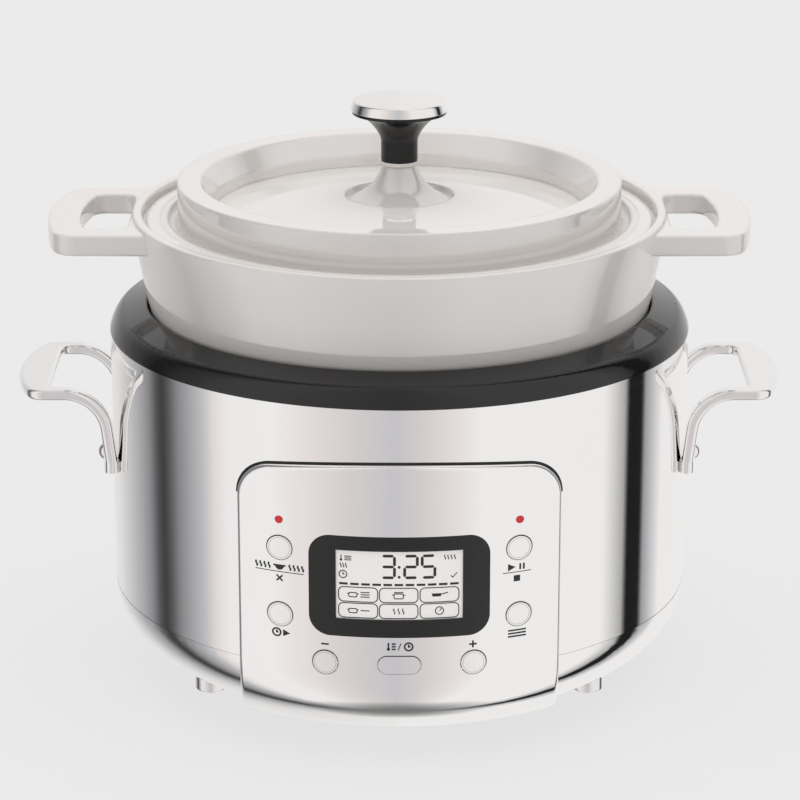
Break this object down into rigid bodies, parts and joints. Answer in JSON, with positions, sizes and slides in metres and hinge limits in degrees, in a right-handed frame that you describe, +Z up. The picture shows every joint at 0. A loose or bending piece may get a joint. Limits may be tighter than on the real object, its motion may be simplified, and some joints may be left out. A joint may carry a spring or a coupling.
{
  "type": "electric dutch oven",
  "caption": "Electric cooker: polished round steel base with curved control panel, buttons and display, black rim ring, lift-out enamelled pot with loop handles and loose domed lid with a knob.",
  "frame": {"origin": "on the floor, under the middle of the base", "axes": "+X to the right seen from the front, +Y to the back, +Z up; the control panel faces -Y"},
  "size_m": [0.401, 0.314, 0.307],
  "materials": {
    "shell_steel": "mirror-polished stainless steel",
    "panel_steel": "bright polished stainless steel",
    "handle_steel": "polished cast steel",
    "button_metal": "bright plated caps",
    "foot_metal": "polished",
    "knob_metal": "polished",
    "knob_black": "gloss black phenolic",
    "ring_black": "gloss black",
    "bezel_black": "satin black",
    "lcd": "pale display glass",
    "red_lens": "clear red",
    "enamel": "gloss cream enamel on cast iron",
    "liner_aluminium": "pressed sheet",
    "plate_aluminium": "turned casting",
    "inner_steel": "plain steel",
    "screw_steel": "zinc plated",
    "board_green": "green lacquered laminate",
    "black_plastic": "moulded black",
    "transformer_tape": "yellow tape",
    "wire_insulation": "grey sleeve",
    "pin_brass": "plain",
    "pad_rubber": "matt"
  },
  "bodies": {
    "base": {"outer_shell": "shell_steel", "base_pan": "shell_steel", "control_panel": "panel_steel", "handle_right": "handle_steel", "handle_left": "handle_steel", "handle_screws": "handle_steel", "foot_front_left": "foot_metal", "foot_front_right": "foot_metal", "foot_rear_left": "foot_metal", "foot_rear_right": "foot_metal", "rim_ring": "ring_black", "display_bezel": "bezel_black", "lcd_module": "lcd", "indicator_pipes": "red_lens", "indicator_diodes": "red_lens", "inner_liner": "liner_aluminium", "heat_shield": "liner_aluminium", "shield_spacers": "liner_aluminium", "heating_plate": "plate_aluminium", "heating_element": "inner_steel", "plate_posts": "inner_steel", "tie_rods": "inner_steel", "sensor_housing": "inner_steel", "sensor_spring": "inner_steel", "bottom_cover": "inner_steel", "liner_screws": "screw_steel", "plate_screws": "screw_steel", "panel_screws": "screw_steel", "board_screws": "screw_steel", "handle_nuts": "screw_steel", "cover_screws": "screw_steel", "foot_screws": "screw_steel", "control_board": "board_green", "power_board": "board_green", "push_switches": "black_plastic", "power_inlet": "black_plastic", "relay": "black_plastic", "terminal_block": "black_plastic", "board_connectors": "black_plastic", "thermal_cutout": "black_plastic", "board_standoffs": "black_plastic", "transformer": "transformer_tape", "power_wires": "wire_insulation", "ribbon_cable": "wire_insulation", "inlet_pins": "pin_brass", "foot_pads": "pad_rubber"},
    "sensor": {"sensor_plunger": "plate_aluminium"},
    "pot": {"cooking_pot": "enamel"},
    "lid": {"lid": "enamel", "knob_collar": "knob_metal", "knob_stem": "knob_black", "knob_cap": "knob_metal", "knob_screw": "screw_steel"},
    "button_keep_warm": {"button_keep_warm": "button_metal"},
    "button_preset": {"button_preset": "button_metal"},
    "button_start": {"button_start": "button_metal"},
    "button_menu": {"button_menu": "button_metal"},
    "button_minus": {"button_minus": "button_metal"},
    "button_plus": {"button_plus": "button_metal"},
    "button_temp_time": {"button_temp_time": "button_metal"}
  },
  "joints": [
    {"name": "pot_lift", "type": "slide", "parent": "base", "child": "pot", "axis": [0, 0, 1], "range_m": [0, 0.12]},
    {"name": "lid_lift", "type": "slide", "parent": "pot", "child": "lid", "axis": [0, 0, 1], "range_m": [0, 0.12]},
    {"name": "sensor_press", "type": "slide", "parent": "base", "child": "sensor", "axis": [0, 0, -1], "range_m": [0, 0.002], "stiffness_N_per_m": 300, "springref_m": -0.004, "deforming": ["sensor_spring"]},
    {"name": "keep_warm_press", "type": "slide", "parent": "base", "child": "button_keep_warm", "axis": [0, 1, 0], "range_m": [0, 0.001], "stiffness_N_per_m": 600},
    {"name": "preset_press", "type": "slide", "parent": "base", "child": "button_preset", "axis": [0, 1, 0], "range_m": [0, 0.001], "stiffness_N_per_m": 600},
    {"name": "start_press", "type": "slide", "parent": "base", "child": "button_start", "axis": [0, 1, 0], "range_m": [0, 0.001], "stiffness_N_per_m": 600},
    {"name": "menu_press", "type": "slide", "parent": "base", "child": "button_menu", "axis": [0, 1, 0], "range_m": [0, 0.001], "stiffness_N_per_m": 600},
    {"name": "minus_press", "type": "slide", "parent": "base", "child": "button_minus", "axis": [0, 1, 0], "range_m": [0, 0.001], "stiffness_N_per_m": 600},
    {"name": "plus_press", "type": "slide", "parent": "base", "child": "button_plus", "axis": [0, 1, 0], "range_m": [0, 0.001], "stiffness_N_per_m": 600},
    {"name": "temp_time_press", "type": "slide", "parent": "base", "child": "button_temp_time", "axis": [0, 1, 0], "range_m": [0, 0.001], "stiffness_N_per_m": 600}
  ]
}
